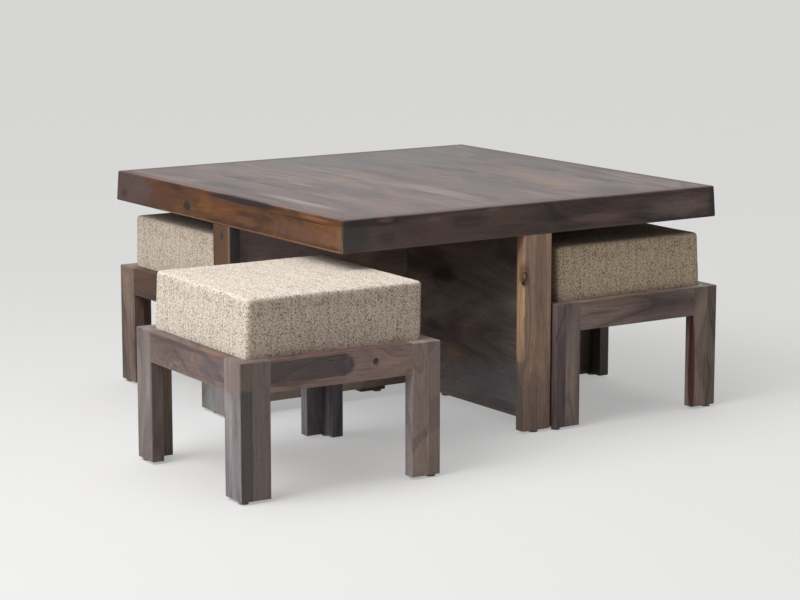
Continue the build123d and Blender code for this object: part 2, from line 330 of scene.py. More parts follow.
def lay_marks(add, own, coloured, marks):
    """Lays marks over a colour: place, size, shade, strength, raggedness, then strip or a number of rings."""
    for spot, size, shade, strength, ragged, *kind in marks:
        moved = add("ShaderNodeVectorMath", [own, spot], operation="SUBTRACT")
        scaled = add("ShaderNodeVectorMath", [moved, size], operation="DIVIDE")
        edge_noise = add("ShaderNodeTexNoise", {"Vector": scaled, **mark_grit})
        if kind == ["strip"]:
            sides = add("ShaderNodeVectorMath", [scaled], operation="ABSOLUTE")
            sides = add("ShaderNodeSeparateXYZ", [sides]).outputs
            wide = add("ShaderNodeMath", sides[:2], operation="MAXIMUM")
            far, fade = add("ShaderNodeMath", [wide, sides[2]], operation="MAXIMUM"), strip_fade
        else:
            far = add("ShaderNodeVectorMath", [scaled], operation="LENGTH")
            fade = spot_fade + ragged_fade * ragged
        loose = add("ShaderNodeMath", [edge_noise, ragged, far.outputs["Value"]], operation="MULTIPLY_ADD")
        edge = 1 + ragged / 2
        inside = [loose, edge, edge - fade, 0.0, strength]
        inside = add("ShaderNodeMapRange", inside, interpolation_type="SMOOTHSTEP")
        if kind and kind != ["strip"]:  # growth lines round a knot or swirl
            wrap = add("ShaderNodeMath", [loose, 2 * pi * kind[0]], operation="MULTIPLY")
            wave = add("ShaderNodeMath", [wrap], operation="SINE")
            lines = add("ShaderNodeMapRange", [wave, *line_band])
            inside = add("ShaderNodeMath", [inside, lines], operation="MULTIPLY")
        over = add("ShaderNodeMix", {0: inside, 6: coloured, 7: linear(shade)}, data_type="RGBA")
        coloured = over.outputs[2]
    return coloured


# %% Make the wood
def sheesham(title, grain, stain, seed, marks=(), centre=(0, 0, 0), turn=0, joint=None, planks=None,
             gloss=0.4, shine=0.3, figure=1.0, fine=0.8, broad=1.0):
    """Stained and oiled sheesham: dark, satin (gloss is the roughness), its figure along the grain's axis."""
    made, add = new_material(title)
    place = {0: add("ShaderNodeTexCoord").outputs["Object"], "Location": centre, "Rotation": (0, 0, radians(turn))}
    own = add("ShaderNodeMapping", place, vector_type="TEXTURE")
    start = tuple(noise.cell_vector(Vector((seed * 1.7, seed * 0.9, 3.1))) * 7)  # m, somewhere in the tree
    laid = add("ShaderNodeMapping", {0: own, "Location": start, "Rotation": to_grain[grain]})
    change = None
    if joint:
        laid, change = other_board(add, own, laid, joint)
    if planks:
        laid, change = plank_by_plank(add, own, laid, *planks, seed)
    tone, veins = growth(add, laid, figure, fine, broad)
    if change:
        apart = add("ShaderNodeMath", [change, board_share, -board_share / 2], operation="MULTIPLY_ADD")
        tone = add("ShaderNodeMath", [tone, apart], operation="ADD")
    ramp = add("ShaderNodeValToRGB", [tone])
    set_stops(ramp, tone_spots, [scaled_colour(stain, step) for step in tone_steps])
    coloured = lay_marks(add, own, ramp, marks)

    thin = {"Vector": stretched(add, laid, fibre_waves), "Scale": 1.0, "Detail": 2.0, "Roughness": 0.6}
    fibre = add("ShaderNodeTexNoise", thin)
    dashes = add("ShaderNodeTexNoise", {"Vector": stretched(add, laid, pore_waves), "Scale": 1.0, "Detail": 1.0})
    pores = add("ShaderNodeMapRange", [dashes, *pore_band], interpolation_type="SMOOTHSTEP")
    swing = fine_share[1] * fine
    lighter = add("ShaderNodeMapRange", [fibre, 0.25, 0.75, 1 - swing, 1 + swing])
    grained = add("ShaderNodeMath", [lighter, veins], operation="MULTIPLY")
    fibred = add("ShaderNodeVectorMath", [coloured, grained], operation="MULTIPLY")
    open_pores = add("ShaderNodeMath", [pores, pore_share], operation="MULTIPLY")
    dark = add("ShaderNodeMix", {0: open_pores, 6: fibred, 7: linear(pore_shade)}, data_type="RGBA")
    rough = add("ShaderNodeMapRange", [fibre, 0.2, 0.8, gloss - 0.05, gloss + 0.09])
    depth = add("ShaderNodeMath", [pores, -1.5, fibre], operation="MULTIPLY_ADD")
    relief = add("ShaderNodeBump", {"Strength": 0.12, "Distance": 0.0004, "Height": depth})
    oiled = {"Base Color": dark.outputs[2], "Roughness": rough, "Normal": relief, "Specular IOR Level": shine}
    return finish(made, add, oiled)


def dress(node, material):
    """Puts a material on every slot of a CAD node."""
    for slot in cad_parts[node].material_slots:
        slot.material = material


# %% Stain the top
field_side, plank_count = 0.852, 7
top_marks = on_face("Z", 0.455, 0.02, [
    ((0.12, 0.34), (0.45, 0.27), "#53504f", 0.6, 0.8),  # painted reflection: greyer at the back, where the top mirrors more of the grey wall
    ((-0.25, -0.36), (0.19, 0.14), "#66504a", 0.45, 0.9),  # painted reflection: warmer at the front, where the top mirrors less of the wall
    ((-0.34, -0.05), (0.04, 0.32), "#66544f", 0.65, 0.9),  # even wood along the front left edge
    ((-0.38, -0.16), (0.022, 0.2), "#85736a", 0.7, 0.9),  # pale streak near the front
    ((-0.376, -0.19), (0.009, 0.13), "#a39183", 0.6, 0.9),
    ((0.03, -0.24), (0.05, 0.17), "#4c4a49", 0.6, 0.8),  # cooler wood beside the next streak
    ((-0.062, -0.19), (0.03, 0.19), "#86736d", 0.75, 0.7),  # broad paler streak
    ((-0.084, -0.09), (0.0055, 0.56), "#8d7e79", 0.75, 0.6),  # with a thin pale line
    ((-0.24, 0.04), (0.013, 0.05), "#84746e", 0.5, 0.8),
    ((0.19, -0.26), (0.045, 0.16), "#86654f", 0.55, 1.0),  # warm patch on the right
    ((0.1, -0.08), (0.025, 0.2), "#4d403c", 0.5, 1.0),
    ((0.37, 0.06), (0.06, 0.14), "#4d4341", 0.6, 0.8),
    ((-0.2277, -0.1653), (0.022, 0.06), "#4c3a34", 0.6, 0.6, 3),
])
top_marks += [((-0.2277, -0.1653, 0.455), (0.008, 0.012, 0.01), "#2b1d19", 0.8, 0.4)]  # small knot
top_look = {"gloss": 0.34, "shine": 0.5, "figure": 1.5, "fine": 0.6, "broad": 1.6}  # sanded finest, so glossiest
top_planks = (-field_side / 2, field_side / plank_count)
planks = sheesham("oiled sheesham planks", "Y", "#5b4944", 11, top_marks, planks=top_planks, **top_look)
dress("top_planks", planks)

# %% Stain the edge boards
# the top faces of the edge boards were sanded and stained with the planks
rim = ((0.0, 0.0, 0.4555), (0.6, 0.6, 0.0012), "#5c4a45", 0.9, 0.0, "strip")
warm_marks = [
    rim,
    ((-0.438, 0, 0.4555), (0.014, 0.42, 0.0012), "#725f59", 0.8, 0.2, "strip"),  # painted reflection and highlight: paler there, as the glossier planks look beside the dull rim
    ((-0.45, 0.42, 0.425), (0.06, 0.17, 0.07), "#544543", 0.8, 0.7),  # purple-brown end
    ((-0.45, 0.335, 0.429), (0.02, 0.075, 0.013), "#57474a", 0.5, 1.0),
    ((-0.45, 0.415, 0.41), (0.03, 0.02, 0.011), "#33262a", 0.7, 0.9),
]
warm_marks += on_face("X", -0.45, 0.02, [
    ((0.145, 0.417), (0.06, 0.019), "#6a432a", 0.45, 1.0),
    ((0.25, 0.425), (0.07, 0.03), "#563320", 0.7, 0.9),  # redder stretch
    ((0.065, 0.428), (0.045, 0.022), "#7c5126", 0.5, 0.9),  # knot in paler wood
    ((0.143, 0.415), (0.034, 0.0175), "#3c2a1c", 0.6, 0.6, 2),
    ((0.141, 0.415), (0.019, 0.0135), "#221d16", 0.9, 0.7),
    ((0.02, 0.409), (0.04, 0.011), "#6d4130", 0.3, 1.4, 2),  # small reddish curls
    ((-0.055, 0.411), (0.012, 0.009), "#4a2a1b", 0.4, 0.6),
    ((-0.02, 0.416), (0.08, 0.02), "#7a4a28", 0.5, 0.9),
    ((-0.1, 0.412), (0.06, 0.012), "#7d5534", 0.5, 0.9),
    ((-0.4, 0.412), (0.045, 0.014), "#7f5b42", 0.6, 0.9),
    ((-0.437, 0.418), (0.018, 0.03), "#8a6c54", 0.4, 0.9),
    ((-0.3, 0.416), (0.18, 0.02), "#664a3c", 0.6, 0.8),  # less red towards the corner
    ((-0.08, 0.4505), (0.17, 0.009), "#271a1c", 0.95, 0.4),  # dark streak under the arris
    ((-0.31, 0.4405), (0.12, 0.0024), "#33201c", 0.85, 0.5),
    ((-0.355, 0.4475), (0.075, 0.0026), "#80583a", 0.7, 0.4),
    ((-0.1, 0.394), (0.36, 0.0022), "#96745f", 0.6, 0.2, "strip"),  # lower arris: painted highlight, a pale line where the edge catches the light
])
warm_marks += [((-0.4495, -0.4498, 0.424), (0.02, 0.003, 0.05), "#a5805e", 0.85, 0.2)]  # painted highlight on the arris at the corner
cool_marks = [rim]
cool_marks += on_face("Y", -0.45, 0.02, [
    ((-0.43, 0.42), (0.06, 0.06), "#383c3b", 0.7, 0.7),
    ((-0.38, 0.446), (0.11, 0.012), "#2c2123", 0.85, 0.8),
    ((-0.352, 0.4485), (0.024, 0.0065), "#745953", 0.8, 0.8),
    ((-0.352, 0.415), (0.032, 0.019), "#333632", 0.6, 1.0),  # greenish dark patch
    ((-0.29, 0.425), (0.045, 0.02), "#4b3a34", 0.5, 1.0),
    ((-0.245, 0.441), (0.032, 0.01), "#75605a", 0.75, 1.4),
    ((-0.17, 0.438), (0.05, 0.011), "#2f2725", 0.6, 1.0),
    ((-0.105, 0.449), (0.022, 0.0055), "#77635b", 0.8, 0.8),
    ((-0.27, 0.399), (0.15, 0.006), "#5f5450", 0.5, 0.8),
    ((-0.02, 0.425), (0.1, 0.02), "#33292c", 0.5, 1.2, 3),
    ((0.12, 0.432), (0.12, 0.017), "#2c2324", 0.5, 1.3, 3),
    ((0.15, 0.413), (0.11, 0.013), "#846a65", 0.7, 1.0),
    ((0.355, 0.42), (0.11, 0.03), "#907c7c", 0.6, 1.0),
    ((0.24, 0.448), (0.1, 0.004), "#2d2426", 0.6, 0.8),
    ((0.13, 0.397), (0.08, 0.003), "#6c5354", 0.5, 0.5),
    ((-0.05, 0.394), (0.36, 0.002), "#6f605c", 0.5, 0.2, "strip"),  # lower arris: painted highlight, a pale line where the edge catches the light
    ((0.462, 0.424), (0.036, 0.07), "#23272d", 0.85, 0.5),  # bluish black end
])
edge_boards = {  # grain, stain, seed, marks and look
    # the front-left board's orange-brown stain and the orange marks on its face are partly painted warm light from
    # the left
    "front left": ("Y", "#55351d", 21, warm_marks, {"shine": 0.15, "figure": 1.4, "fine": 0.6}),
    "front right": ("X", "#483b39", 32, cool_marks, {"figure": 1.9, "fine": 0.6}),
    "back left": ("X", "#4a3b35", 43, [rim], {}),
    "back right": ("Y", "#4a3d38", 54, [rim], {}),
}
for side, (grain, stain, seed, marks, look) in edge_boards.items():
    wood = sheesham(f"oiled sheesham, {side} edge", grain, stain, seed, marks, **look)
    dress("edge_board_" + side.replace(" ", "_"), wood)

# %% Stain the base
left_post_marks = [
    ((-0.45, 0.028, 0.25), (0.04, 0.007, 0.3), "#3a2415", 0.6, 0.5),
    ((-0.45, -0.03, 0.25), (0.04, 0.005, 0.3), "#7b6a58", 0.7, 0.3),
    ((-0.45, 0, 0), (0.05, 0.15, 0.3), "#8d878b", 0.8, 0.9),  # paler towards the foot
    ((-0.45, -0.0022, 0.3712), (0.02, 0.012, 0.016), "#3a2824", 0.6, 0.6),
    ((-0.45, -0.0022, 0.3712), (0.02, 0.0055, 0.007), "#140c0a", 0.95, 0.4),
    ((-0.43, -0.0352, 0.2), (0.018, 0.003, 0.25), "#3c3d42", 0.85, 0.1, "strip"),  # painted shade: the post's side in shadow, dark and bluish
]
right_post_marks = [
    ((-0.0355, -0.437, 0.06), (0.004, 0.03, 0.085), "#5b5a50", 0.6, 0.3, "strip"),
    ((-0.0355, -0.437, 0.27), (0.006, 0.04, 0.165), "#ebbf95", 0.85, 0.5),  # pale sapwood on the side, made paler still as painted light where the lamps leave it dim
    ((0, -0.45, 0.05), (0.06, 0.03, 0.09), "#8a7770", 0.6, 0.6),
    ((0, -0.45, 0.16), (0.05, 0.02, 0.035), "#ab8d7c", 0.5, 0.8),
    ((-0.0342, -0.4468, 0.315), (0.018, 0.018, 0.028), "#7f5d49", 0.7, 0.6),  # knot round the arris
    ((-0.031, -0.448, 0.313), (0.014, 0.014, 0.02), "#3a221a", 0.85, 0.5, 2),
    ((-0.0342, -0.4468, 0.3), (0.006, 0.007, 0.006), "#150d0a", 0.9, 0.3),
]
panel_marks = on_face("X", -0.015, 0.03, [
    ((-0.1, 0.29), (0.11, 0.045), "#4a3c37", 0.7, 0.9),
    ((-0.15, 0.275), (0.055, 0.022), "#35271f", 0.7, 0.8),
    ((-0.37, 0.345), (0.06, 0.03), "#563a31", 0.6, 0.9),
    ((-0.11, 0.165), (0.04, 0.015), "#43383a", 0.6, 1.0),
    ((-0.22, 0.16), (0.12, 0.02), "#6b5756", 0.4, 1.2),
    ((-0.185, 0.118), (0.045, 0.013), "#94795c", 0.75, 0.9),
    # painted sheen: bluish grey near the foot of the panel, for floor light it reflects
    ((-0.32, 0.075), (0.15, 0.06), "#84878f", 0.65, 0.9),
    # painted shade: darker along the top, under the tabletop
    ((-0.24, 0.395), (0.26, 0.06), "#45342d", 0.6, 0.6),
    ((-0.22, 0.335), (0.17, 0.045), "#5d4a42", 0.35, 0.7),
    ((-0.22, 0.045), (0.06, 0.012), "#7d8179", 0.4, 0.8),
    ((-0.36, 0.04), (0.07, 0.014), "#56565b", 0.6, 0.7),
])
# painted light: a paler patch where this panel lies in shade under the top
painted_light_patch = [((-0.3, -0.015, 0.36), (0.2, 0.012, 0.08), "#b9a9ae", 0.8, 0.6)]
panel_look = {"figure": 0.8, "fine": 0.45}
# the panel along X is stained lighter than the one along Y, as painted light for its shaded place
along_x = sheesham("dark sheesham panel along X", "X", "#9a8a82", 61, painted_light_patch, **panel_look)
along_y = sheesham("dark sheesham panel along Y", "Y", "#817672", 72, panel_marks, **panel_look)
dress("cross_panel_slotted_above", along_x)
dress("cross_panel_slotted_below", along_y)
post_stains = {
    # the front-left post's orange-brown stain is partly painted warm light from the left, as on the front-left
    # edge board
    "front_left": ("#523418", left_post_marks),
    "front_right": ("#b39787", right_post_marks),
    "back_left": ("#5f4a3f", ()),
    "back_right": ("#5c4a42", ()),
}
for seed, (side, (stain, marks)) in enumerate(post_stains.items(), 81):
    title = "sheesham post, " + side.replace("_", " ")
    dress("post_" + side, sheesham(title, "Z", stain, seed, marks, figure=0.55))

# %% [markdown]
# ### The stools' boards
#
# A stool's marks are measured from its own middle and turn with it. Each leg is two boards, one glued behind the
# edge of the other, and the figure jumps where they meet.

# %% Note the marks of the stools
stool_marks = {}
stool_marks["front_stool_side_rails"] = on_face("X", -0.205, 0.02, [
    ((0.05, 0.247), (0.16, 0.006), "#3f3330", 0.6, 0.6),
    ((0.04, 0.185), (0.078, 0.052), "#8a7873", 0.5, 0.6, 4),  # swirl
    ((-0.095, 0.222), (0.055, 0.022), "#55535a", 0.6, 0.8),
    ((-0.024, 0.233), (0.006, 0.013), "#93705a", 0.6, 0.8),  # orange streak
    ((-0.021, 0.216), (0.012, 0.011), "#84696a", 0.5, 1.0),
    ((-0.135, 0.203), (0.03, 0.007), "#867372", 0.6, 0.8),
    # painted highlight along the rail's top arris
    ((-0.085, 0.253), (0.05, 0.0022), "#8a604a", 0.6, 0.5),
    ((0, 0.196), (0.2, 0.0016), "#8e817b", 0.6, 0.2, "strip"),
])
stool_marks["front_stool_end_rails"] = on_face("Y", -0.205, 0.03, [
    ((-0.075, 0.229), (0.085, 0.0205), "#565153", 0.85, 0.25, "strip"),  # heartwood with a round end
    ((0.004, 0.2285), (0.024, 0.0205), "#565153", 0.85, 0.25),
    ((-0.1, 0.207), (0.07, 0.006), "#77655f", 0.8, 0.5),
])
stool_marks["front_stool_end_rails"] += on_face("Y", -0.205, 0.02, [
    ((0.0687, 0.2271), (0.015, 0.017), "#5b473f", 0.6, 0.5, 2),
    ((0.0687, 0.229), (0.006, 0.007), "#3a2622", 0.9, 0.4),
    ((0, 0.253), (0.16, 0.002), "#5f4038", 0.7, 0.3, "strip"),
])
stool_marks["front_stool_leg_front"] = [
    ((-0.205, -0.19, 0.07), (0.012, 0.018, 0.06), "#85868a", 0.5, 0.8),
    ((-0.205, -0.175, 0.222), (0.004, 0.045, 0.052), "#86726d", 0.8, 0.7),
    ((-0.193, -0.207, 0.1), (0.0118, 0.008, 0.104), "#5b5858", 0.9, 0.1, "strip"),  # dark edge of the wide board
    ((-0.163, -0.207, 0.13), (0.0185, 0.01, 0.13), "#827775", 0.9, 0.1, "strip"),  # return board
    ((-0.175, -0.175, 0.2535), (0.035, 0.035, 0.0012), "#6a4f47", 0.7, 0, "strip"),
    ((-0.193, -0.207, 0.23), (0.0118, 0.004, 0.026), "#82746e", 0.9, 0.1, "strip"),
]
stool_marks["front_stool_leg_left"] = [
    ((-0.205, 0.158, 0.145), (0.01, 0.006, 0.035), "#a48f89", 0.5, 0.7),
    ((-0.205, 0.198, 0.075), (0.01, 0.008, 0.013), "#554749", 0.6, 0.9, 2),
    ((-0.17, 0.145, 0.1), (0.02, 0.004, 0.12), "#7a6a62", 0.5, 1.0, 5),
]
stool_marks["front_stool_leg_right"] = [
    ((0.193, -0.205, 0.1), (0.0118, 0.008, 0.16), "#998986", 0.9, 0.1, "strip"),
    ((0.145, -0.193, 0.1), (0.003, 0.014, 0.12), "#a2979c", 0.7, 0.3, "strip"),
]
stool_marks["right_stool_end_rails"] = on_face("Y", -0.205, 0.02, [
    ((-0.07, 0.246), (0.115, 0.011), "#8a7462", 0.8, 0.7),
    ((-0.09, 0.226), (0.06, 0.006), "#5a4a4d", 0.6, 0.9),
    ((0.02, 0.236), (0.13, 0.004), "#6b5e58", 0.6, 0.9),
    ((0.12, 0.215), (0.03, 0.008), "#7d706c", 0.5, 0.9),
])
stool_marks["right_stool_leg_right"] = [
    ((0.145, -0.2, 0.09), (0.008, 0.012, 0.13), "#4a120f", 0.9, 0.3),
    ((0.182, -0.205, 0.07), (0.006, 0.02, 0.06), "#7d6c62", 0.5, 0.7),
    ((0.176, -0.205, 0.07), (0.0018, 0.02, 0.05), "#4c3a30", 0.7, 0.4),
]
stool_marks["left_stool_leg_left"] = on_face("X", -0.205, 0.01, [
    ((0.198, 0.13), (0.005, 0.14), "#463539", 0.7, 0.4),
    ((0.149, 0.12), (0.003, 0.12), "#43352f", 0.7, 0.3),
    ((0.175, 0.12), (0.012, 0.12), "#7a685c", 0.5, 0.7),
])
print("marked stool pieces", len(stool_marks))

# %% Stain the stools
stool_pieces = ("leg_front", "leg_left", "leg_right", "leg_back", "side_rails", "end_rails")
# the back legs of the front and right stools are lightened and tinted blue-grey: painted light and shade for their
# place in shade
stool_stains = {
    "front": ("#969091", "#817672", "#948480", "#83818c", "#6d5a56", "#99827f"),
    "left": ("#878785", "#7f6a5d", "#6e5f57", "#6b5c54", "#4f3323", "#6b574f"),
    "right": ("#807372", "#7a6963", "#7f726e", "#6e6862", "#6b5a52", "#90807c"),
    "back": ("#6f6059", "#78685f", "#756660", "#7c6c65", "#6b5a52", "#7b6a62"),
}
stool_turns = {"front": -2, "left": 0, "right": 0, "back": 0}  # degrees, as each stands in the photograph
stool_half, leg_board = 0.205, 0.024  # half the side of a stool, and the thickness of its leg boards
grain_of = {"side_rails": "Y", "end_rails": "X"}  # legs stand upright
for number, (stool, turn) in enumerate(stool_turns.items()):
    low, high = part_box(stool + "_stool_seat_board")
    middle = (*((low + high) / 2)[:2], 0)
    for seed, (piece, stain) in enumerate(zip(stool_pieces, stool_stains[stool]), 100 + 10 * number):
        node, rail = f"{stool}_stool_{piece}", "rails" in piece
        made_of = {"joint": None if rail else stool_half - leg_board, "figure": 0.9 if rail else 0.75}
        marks, title = stool_marks.get(node, ()), "sheesham " + node.replace("_", " ")
        wood = sheesham(title, grain_of.get(piece, "Z"), stain, seed, marks, middle, turn, **made_of)
        dress(node, wood)
print("wood materials", sum("sheesham" in m.name for m in bpy.data.materials))

# %% [markdown]
# ## Hidden wood, plywood and plastic
#
# Cleats are strips that nobody sees, so they keep their sawn surface: paler and rougher, with marks of the saw.
# The seat board is plywood with its peeled outer veneer. The glides are small moulded plastic discs.


# %% Make the plain finishes
def two_shades(title, dark, light, stretch=None, **pattern):
    """A new material whose colour wanders between two shades, with what its finish needs."""
    made, add = new_material(title)
    place = add("ShaderNodeTexCoord").outputs["Object"]
    if stretch:
        place = add("ShaderNodeMapping", {0: place, "Scale": stretch})
    blotch = add("ShaderNodeTexNoise", {"Vector": place, **pattern}).outputs[0]
    tint = add("ShaderNodeMix", {0: blotch, 6: linear(dark), 7: linear(light)}, data_type="RGBA")
    return made, add, place, blotch, tint.outputs[2]


def sawn_strip():
    """Sawn, unpolished sheesham: matt, with marks of a coarse saw about 11 mm apart along the strip."""
    made, add, place, _, tint = two_shades("sawn sheesham cleat", "#5b3f2f", "#8b674c", Scale=60.0, Detail=4.0)
    sawing = {"Vector": place, "Scale": 55.0, "Distortion": 2.0}
    saw = add("ShaderNodeTexWave", sawing, wave_type="BANDS", bands_direction="DIAGONAL")
    relief = add("ShaderNodeBump", {"Strength": 0.3, "Distance": 0.0004, "Height": saw.outputs["Fac"]})
    return finish(made, add, {"Base Color": tint, "Roughness": 0.78, "Normal": relief})


def peeled_ply():
    """Plywood with a peeled veneer: matt, with wide wavy figure, as a veneer that is peeled off a log has."""
    flow = {"Scale": 1.0, "Detail": 4.0, "Distortion": 0.8}
    wide = (2.5, 22.0, 60.0)
    made, add, _, wavy, tint = two_shades("peeled plywood seat board", "#8f6d49", "#c7a478", wide, **flow)
    relief = add("ShaderNodeBump", {"Strength": 0.15, "Distance": 0.0003, "Height": wavy})
    return finish(made, add, {"Base Color": tint, "Roughness": 0.65, "Normal": relief})


def moulded_glide():
    """Polythene moulded in a plain die: grey, a little cloudy, with a soft gloss."""
    cloudy = {"Scale": 300.0, "Detail": 2.0}
    made, add, _, cloud, tint = two_shades("moulded polythene glide", "#7d7b79", "#9d9b98", **cloudy)
    rough = add("ShaderNodeMapRange", {0: cloud, 3: 0.4, 4: 0.55})
    return finish(made, add, {"Base Color": tint, "Roughness": rough})


# %% Dress the hidden pieces
plain_finishes = {"cleats": sawn_strip(), "seat_board": peeled_ply(), "glides": moulded_glide()}
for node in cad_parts:
    for word, surface in plain_finishes.items():
        if word in node:
            dress(node, surface)
print("glides", sum("glides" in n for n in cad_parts))

# %% [markdown]
# ## Cushions
#
# Each seat is a block of firm foam in a tight woven cover: a box with soft edges, a little crowned on top and
# fuller in the middle of its sides. A box mesh with rounded edges is close, but looks machined. So a slightly
# smaller block is blown up a little as cloth, by a few millimetres, as firm foam allows. What rests on the seat
# board or stands in the frame is held flat. All four are alike in the shop, so one is made at the origin and four
# turned copies go to the stools.

# %% Shape the foam block
cushion_low, cushion_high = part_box("left_stool_cushion")
cushion_size = cushion_high - cushion_low
frame_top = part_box("left_stool_side_rails")[1].z - cushion_low.z  # how deep the block stands in the frame
cover_side = cushion_size.x + 0.001  # above the frame the cover stands proud of the block all round
edge_radius, corner_radius = 0.006, 0.008
print("cushion", [round(v, 4) for v in cushion_size], "frame top at", round(frame_top, 4))


def mesh_of(work, title):
    """The finished mesh of a bmesh, which is freed."""
    made = bpy.data.meshes.new(title)
    work.to_mesh(made)
    work.free()
    return made


def foam_block(width, height, cell):
    """A box of even square cells, standing on z = 0."""
    work = bmesh.new()
    across, up, points = round(width / cell), round(height / cell), {}

    def point(i, j, k):
        if (i, j, k) not in points:
            spot = ((i / across - 0.5) * width, (j / across - 0.5) * width, k / up * height)
            points[i, j, k] = work.verts.new(spot)
        return points[i, j, k]

    def square(order, *corners):
        work.faces.new([point(*corner) for corner in corners][::order])

    for i in range(across):
        for j in range(across):
            for k, order in ((0, -1), (up, 1)):
                square(order, (i, j, k), (i + 1, j, k), (i + 1, j + 1, k), (i, j + 1, k))
        for k in range(up):
            for j, order in ((0, 1), (across, -1)):
                square(order, (i, j, k), (i + 1, j, k), (i + 1, j, k + 1), (i, j, k + 1))
                square(order, (j, i, k), (j, i, k + 1), (j, i + 1, k + 1), (j, i + 1, k))
    return mesh_of(work, "foam block")


def soften(spot, width, height):
    """Where a point of the plain box goes when its edges and corners are rounded."""
    half = width / 2
    flat_half = half - corner_radius
    inner = Vector([max(-flat_half, min(flat_half, v)) for v in (spot.x, spot.y)] + [0])
    out = Vector((spot.x, spot.y, 0)) - inner
    if out.x and out.y:
        out *= max(abs(out.x), abs(out.y)) / out.length
    flat, z = inner + out, spot.z
    side = max(abs(spot.x), abs(spot.y))
    inward = max(0.0, side - (half - edge_radius))
    for face_z, way in ((0.0, 1), (height, -1)):
        near = max(0.0, edge_radius - abs(z - face_z))
        if near and inward:
            share = max(near, inward) / (near * near + inward * inward) ** 0.5
            flat *= (half - edge_radius + inward * share) / side
            z = face_z + way * (edge_radius - near * share)
    return Vector((flat.x, flat.y, z))


# %% Cut the block
foam_cell = 0.006
block = foam_block(cover_side, cushion_size.z, foam_cell)
panel = ["z" if abs(f.normal.z) > 0.5 else "x" if abs(f.normal.x) > 0.5 else "y" for f in block.polygons]
for v in block.vertices:
    v.co = soften(v.co, cover_side, cushion_size.z)
block.update()
rest_shape = [v.co.copy() for v in block.vertices]
outward = [v.normal.copy() for v in block.vertices]
cushion = put("foam_block", block)
print("block of", len(block.polygons), "cells")

# %% Blow it up a little as cloth
air_pressure, thread_stiffness, fold_stiffness, air_steps = 4, 40, 8, 20
swell_limit = 0.004  # firm foam hardly moves
smooth_rounds, smooth_share = 30, 0.6

swelling = [0.0] * len(rest_shape)
cloth = cushion.modifiers.new("swell", "CLOTH")
cloth.settings.use_pressure = True
cloth.settings.uniform_pressure_force = air_pressure
cloth.settings.effector_weights.gravity = 0
cloth.settings.tension_stiffness = cloth.settings.compression_stiffness = thread_stiffness
cloth.settings.bending_stiffness = fold_stiffness
for step in range(1, air_steps + 1):
    bpy.context.scene.frame_set(step)
blown = cushion.evaluated_get(bpy.context.evaluated_depsgraph_get()).data.vertices
swelling = [(v.co - before).dot(way) for v, before, way in zip(blown, rest_shape, outward)]
cushion.modifiers.remove(cloth)
bpy.context.scene.frame_set(1)
print("cloth moved the cover from", round(min(swelling) * 1000, 1), "to", round(max(swelling) * 1000, 1), "mm")

# the cover is tight on firm foam: its wrinkles are smoothed out and its swelling is kept small
beside = [[] for _ in rest_shape]
for a, b in (e.vertices for e in block.edges):
    beside[a].append(b)
    beside[b].append(a)
for _ in range(smooth_rounds):
    swelling = [
        (1 - smooth_share) * s + smooth_share * sum(swelling[j] for j in near) / len(near)
        for s, near in zip(swelling, beside)
    ]
most = max(max(swelling), 1e-6)
swelling = [swell_limit * max(0.0, s) / most for s in swelling]

# %% Let it rest in its frame
well_half = cushion_size.x / 2 + 0.0002  # what the rails leave it
crown, top_rise = 0.0010, 0.0012  # how much the middle of the top and all of it stand above the block
dents = ((9, 0.0012), (31, 0.0004))  # waves per metre and height of what makes foam uneven
flare_most, flare_at, flare_reach = 0.0010, 0.25, 0.6  # the foam spreads where it leaves the frame
top_from = 0.9  # of the height, where the top's own shape begins
frame_grip, sole = 0.0015, 0.0003  # m above the frame that it still holds, and above the seat board

for v, before, way, swell in zip(block.vertices, rest_shape, outward, swelling):
    up_share = before.z / cushion_size.z
    uneven = sum(noise.noise(before * waves) * most for waves, most in dents)
    x, y, z = before + way * (swell + uneven)
    flare = flare_most * (1 + cos(pi * min(1.0, abs(up_share - flare_at) / flare_reach))) / 2
    x, y = x * (1 + flare / (cover_side / 2)), y * (1 + flare / (cover_side / 2))
    if up_share > top_from:
        u, w = before.x / (cover_side / 2), before.y / (cover_side / 2)
        domed = (crown + swell) * (1 - u * u) * (1 - w * w)
        z = before.z + top_rise - crown + domed + uneven * 0.6
    if z < frame_top + frame_grip:
        x, y = max(-well_half, min(well_half, x)), max(-well_half, min(well_half, y))
    v.co = Vector((x, y, sole if before.z < 0.001 else max(z, sole)))

# the yarns follow the plain box, so that they run level round the sides as the cutter laid them
uv = block.uv_layers.new(name="weave")
for face, facing in zip(block.polygons, panel):
    for loop in face.loop_indices:
        p = rest_shape[block.loops[loop].vertex_index]
        uv.data[loop].uv = (p.x, p.y) if facing == "z" else (p.y, p.z) if facing == "x" else (p.x, p.z)
block.polygons.foreach_set("use_smooth", [True] * len(block.polygons))
print("cushion faces", len(block.polygons), "height", round(max(v.co.z for v in block.vertices), 4))

# %% [markdown]
# ## Heathered cover
#
# The cover is a coarse plain weave of slubby yarn, spun from cream and brown fibres so that it looks heathered.
# It could be a fabric photograph, but a computed weave has no seams. Each yarn has its own line through a noise,
# so its shade changes along it and jumps to the next yarn, and a chessboard picks which yarn, warp or weft, lies
# on top. The yarns are 2.1 mm apart, coarser than the real ones, so that they show. The pattern reads the
# cover's own UV map, in metres.


# %% Weave the cover
yarn = 0.0021  # m from one yarn to the next
heather = ("#907c68", "#c8b9a6", "#dfd3c6", "#ece4db")  # the fibres of one yarn, from brown to cream
heather_spots = (0.1, 0.36, 0.56, 0.85)
fibre_mix = {"Scale": 1.0, "Detail": 1.5, "Roughness": 0.6}
mix_run = 260.0  # changes of shade per metre along a yarn
warp_step, weft_step, weft_start = 7.31, 5.77, 41.0  # keeps the yarns' lines through the noise apart
slub_waves, slub_share = (160.0, 14.0, 1.0), 0.16  # thick places in the yarn, which look paler
tone_band = (0.38, 0.73)


